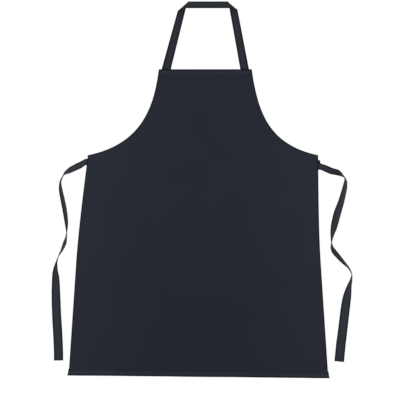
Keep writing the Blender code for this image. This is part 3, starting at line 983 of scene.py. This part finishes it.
def tape_material():
    material, tree, shader = start_material("slate_tape", 0.82, 0.06, 0.02, 0.4)
    place, along, across, side = woven(tree)
    mirrored = calc(tree, "PINGPONG", calc(tree, "ADD", across, 0.04), 0.0032)
    chevron = ridges(tree, calc(tree, "ADD", along, mirrored), 0.0013)
    yarn = ridges(tree, across, 0.0008)
    streak = cloudy(tree, place, (30, 700, 3), 2.0, (2.2, 5.1, 0))
    cloud = cloudy(tree, place, (28, 40, 3), 2.0, (6.0, 1.9, 0))
    share = calc(tree, "MULTIPLY", cloud, 0.55)
    share = calc(tree, "MULTIPLY_ADD", streak, 0.35, share)
    share = calc(tree, "MULTIPLY_ADD", chevron, 0.12, share)
    # The tone attribute carries the painted edge shade into the colour.
    tone = add_node(tree, "ShaderNodeAttribute", attribute_name="tone").outputs["Fac"]
    front = tint(tree, TAPE_FRONT_DARK, TAPE_FRONT_LIGHT, share, tone)
    back = tint(tree, TAPE_BACK_DARK, TAPE_BACK_LIGHT, share, tone)
    sharp = calc(tree, "GREATER_THAN", side, 0.5)
    both = add_node(tree, "ShaderNodeMix", {0: sharp, 6: front, 7: back}, data_type="RGBA")
    tree.links.new(both.outputs[2], shader.inputs["Base Color"])
    height = calc(tree, "MULTIPLY_ADD", yarn, 0.4, chevron)
    height = calc(tree, "MULTIPLY_ADD", streak, 1.0, height)
    bump = add_node(
        tree, "ShaderNodeBump", {"Strength": 0.4, "Distance": 0.00018, "Height": height}
    )
    tree.links.new(bump.outputs[0], shader.inputs["Normal"])
    return material


def thread_material():
    material, tree, shader = start_material("navy_thread", 0.5, 0.3, 0.0, 0.5)
    place = add_node(tree, "ShaderNodeTexCoord").outputs["Object"]
    twist = add_node(
        tree, "ShaderNodeTexNoise", {"Vector": place, "Scale": 900.0, "Detail": 1.0}
    ).outputs["Fac"]
    colour = tint(tree, THREAD_DARK, THREAD_LIGHT, twist, 1.0)
    tree.links.new(colour, shader.inputs["Base Color"])
    bump = add_node(
        tree, "ShaderNodeBump", {"Strength": 0.3, "Distance": 0.0001, "Height": twist}
    )
    tree.links.new(bump.outputs[0], shader.inputs["Normal"])
    return material


# ---- scene -------------------------------------------------------------------------------------


def add_camera():
    data = bpy.data.cameras.new("camera")
    data.sensor_width = 36
    data.lens = CAMERA_LENS
    camera = bpy.data.objects.new("camera", data)
    camera.location = CAMERA_PLACE
    camera.rotation_euler = (math.pi / 2, 0, 0)
    bpy.context.scene.collection.objects.link(camera)
    bpy.context.scene.camera = camera


def add_light(name, place, target, size, power):
    data = bpy.data.lights.new(name, "AREA")
    data.shape = "RECTANGLE"
    data.size, data.size_y = size
    data.energy = power
    light = bpy.data.objects.new(name, data)
    light.location = place
    light.rotation_euler = (Vector(target) - Vector(place)).to_track_quat("-Z", "Y").to_euler()
    bpy.context.scene.collection.objects.link(light)


def add_studio():
    world = bpy.data.worlds.new("studio")
    world.use_nodes = True
    background = world.node_tree.nodes["Background"]
    background.inputs["Color"].default_value = (1, 1, 1, 1)
    background.inputs["Strength"].default_value = 1.0
    bpy.context.scene.world = world
    bpy.context.scene.view_settings.view_transform = "Standard"
    add_light("left_softbox", (-1.05, -0.60, -0.30), STUDIO_MIDDLE, (0.7, 0.9), 4.5)
    add_light("right_softbox", (1.05, -0.60, -0.30), STUDIO_MIDDLE, (0.7, 0.9), 4.5)
    add_light("top_softbox", (0, -0.9, 0.8), STUDIO_MIDDLE, (1.6, 0.6), 3.5)
    material = bpy.data.materials.new("pale_floor")
    material.use_nodes = True
    shader = material.node_tree.nodes["Principled BSDF"]
    shader.inputs["Base Color"].default_value = (0.9, 0.9, 0.9, 1)
    shader.inputs["Roughness"].default_value = 0.9
    corners = ((-1, -1), (1, -1), (1, 1), (-1, 1))
    verts = [(x * FLOOR_HALF, y * FLOOR_HALF, FLOOR_Z) for x, y in corners]
    mesh = bpy.data.meshes.new("floor")
    mesh.from_pydata(verts, [], [(0, 1, 2, 3)])
    mesh.materials.append(material)
    floor = bpy.data.objects.new("floor", mesh)
    bpy.context.scene.collection.objects.link(floor)


def fold_at_waist(piece):
    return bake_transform(piece)


def build_level_hems(by_name, cloth, thread):
    """The top and bottom hem with their stitches."""
    top_hem = hem("hem_top", by_name["top"], 0.006, 0.994, cloth)
    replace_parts(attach(top_hem, "bib"), "bib_top_hem")
    bottom = hem("hem_bottom", by_name["bottom"], 0.003, 0.997, cloth)
    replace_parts(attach(bottom, "skirt"), "bottom_hem")
    top_seam = seam("stitches_top", by_name["top"], 0.02, 0.98, thread)
    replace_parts(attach(top_seam, "bib"), "bib_top_stitching")
    bottom_seam = seam("stitches_bottom", by_name["bottom"], 0.004, 0.996, thread)
    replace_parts(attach(bottom_seam, "skirt"), "bottom_hem_stitching")
    return [top_hem, bottom, top_seam, bottom_seam]


def build_flank(side, by_name, cloth, thread):
    """One side's armhole hem and side hem with their stitches, between shares of each edge."""
    arm, flank = by_name["armhole_" + side], by_name["side_" + side]
    arm_part = (0.065, 0.985) if side == "right" else (0.015, 0.935)
    flank_part = (0.014, 0.968) if side == "right" else (0.032, 0.986)
    seam_part = (0.02, 0.955) if side == "right" else (0.045, 0.98)
    made = [
        (hem("hem_armhole_" + side, arm, *arm_part, cloth), "armhole_hem_" + side),
        (hem("hem_side_" + side, flank, *flank_part, cloth), "side_hem_" + side),
        (seam("stitches_armhole_" + side, arm, 0.03, 0.97, thread), "armhole_stitching_" + side),
        (seam("stitches_side_" + side, flank, *seam_part, thread), "side_stitching_" + side),
    ]
    for piece, node in made:
        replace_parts(fold_at_waist(piece), node)
    return [piece for piece, _ in made]


def build_tacks(side, thread):
    """The bartacks that hold one end of the neck tape and one tie."""
    middle = sum(strand_edges(side, BIB_TOP - NECK_BARTACK_DROP), Vector()) / 2
    start = Vector((middle.x - NECK_BARTACK_LONG / 2, middle.z))
    end = Vector((middle.x + NECK_BARTACK_LONG / 2, middle.z))
    tack = bartack("neck_tack_" + side, start, end, thread)
    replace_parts(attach(tack, "bib"), "neck_bartack_" + side)
    root = tie_root(side)
    x = root.x - TIE_SIDES[side]["sign"] * (TIE_PROUD + SIDE_HEM_WIDE + BARTACK_WIDE)
    start = Vector((x, root.z - TIE_BARTACK_LONG / 2))
    end = Vector((x, root.z + TIE_BARTACK_LONG / 2))
    tie_tack = bartack("tie_tack_" + side, start, end, thread)
    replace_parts(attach(tie_tack, "skirt"), "tie_bartack_" + side)
    return [tack, tie_tack]


def build_tie(side, tape, thread):
    """One tie: its tape, cupped but for its two ends, its turned end, its stitches and its ear."""
    name = "tie_" + side
    root, sign = tie_root(side), TIE_SIDES[side]["sign"]
    sections = tie_sections(side)
    count = len(sections)
    ends = [min(i - CUP_STARTS, count - CUP_STEPS - i) / CUP_STEPS for i in range(count)]
    cups = [TIE_CUP * smooth_step(share) for share in ends]
    whole = strip("tie_tape_" + side, sections, TAPE_THICK, tape, cups)
    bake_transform(whole)
    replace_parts(whole, name, "tie_sewn_end_" + side)
    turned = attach(tie_hem(side, tape), name)
    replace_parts(turned, name + "_end_hem")
    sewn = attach(tie_stitches(side, thread), name)
    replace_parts(sewn, name + "_end_stitching")
    if TIE_SIDES[side]["ear"]:
        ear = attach(tie_ear(side, tape), "skirt")


def build_neck_tape(tape):
    # The neck tape gets wider painted edge shade and is painted darker all over.
    neck = strip(
        "neck_tape", neck_sections(), TAPE_THICK, tape, shade=NECK_EDGE_SHADE, shaded_tone_all=NECK_PAINTED_SHADE_TONE
    )
    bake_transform(neck)
    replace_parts(neck, "neck_strap", "neck_tape_end_left", "neck_tape_end_right")


def build():
    cloth, tape, thread = cloth_material(), tape_material(), thread_material()
    edges = [Edge(*run) for run in outline()]
    by_name = {edge.name: edge for edge in edges}
    body = fold_at_waist(apron_cloth(edges, cloth))
    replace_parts(body, "bib_panel", "skirt_panel")
    going_with = build_level_hems(by_name, cloth, thread)
    for side in ("left", "right"):
        going_with += build_flank(side, by_name, cloth, thread)
        going_with += build_tacks(side, thread)
        build_tie(side, tape, thread)
    build_neck_tape(tape)


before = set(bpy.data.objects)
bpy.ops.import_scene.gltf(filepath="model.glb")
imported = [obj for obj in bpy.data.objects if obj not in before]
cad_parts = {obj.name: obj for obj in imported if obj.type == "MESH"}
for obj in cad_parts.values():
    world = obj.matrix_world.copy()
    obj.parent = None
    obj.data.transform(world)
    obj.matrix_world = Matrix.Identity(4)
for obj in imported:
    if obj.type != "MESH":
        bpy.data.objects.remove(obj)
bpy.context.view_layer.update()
add_camera()
add_studio()
build()
